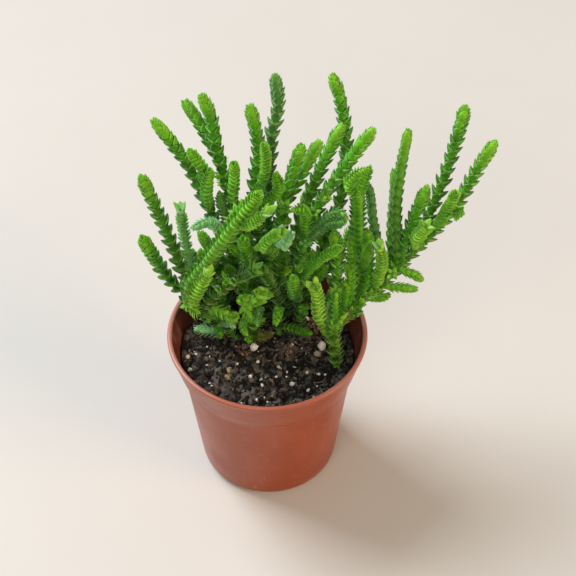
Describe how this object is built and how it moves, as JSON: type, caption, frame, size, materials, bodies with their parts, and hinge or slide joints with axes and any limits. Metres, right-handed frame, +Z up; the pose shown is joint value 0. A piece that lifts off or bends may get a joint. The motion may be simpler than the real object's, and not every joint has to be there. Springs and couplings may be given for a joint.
{
  "type": "potted watch chain crassula",
  "caption": "Small potted succulent: leafy chain-like stems, upright and leaning out to one side, in a tapered plastic pot with a deep collar.",
  "frame": {"origin": "centre of the pot's flat underside, on the surface it stands on", "axes": "+Z up along the pot's axis; the front of the pot, where the soil is bare, faces -Y; the crown leans out towards +X"},
  "size_m": [0.0944, 0.0664, 0.112],
  "materials": {
    "pot_plastic": "satin",
    "potting_soil": "matte",
    "leafy_stem": "satin"
  },
  "bodies": {
    "root": {"pot": "pot_plastic", "soil": "potting_soil", "stem_left": "leafy_stem", "stem_front_left": "leafy_stem", "stem_low_front": "leafy_stem", "stem_back_left": "leafy_stem", "stem_middle_left": "leafy_stem", "stem_middle": "leafy_stem", "stem_back": "leafy_stem", "stem_middle_right": "leafy_stem", "stem_cross": "leafy_stem", "stem_back_right": "leafy_stem", "stem_middle_front": "leafy_stem", "stem_right": "leafy_stem", "stem_low_back_left": "leafy_stem", "stem_low_back": "leafy_stem", "stem_low_back_right": "leafy_stem"}
  },
  "joints": []
}
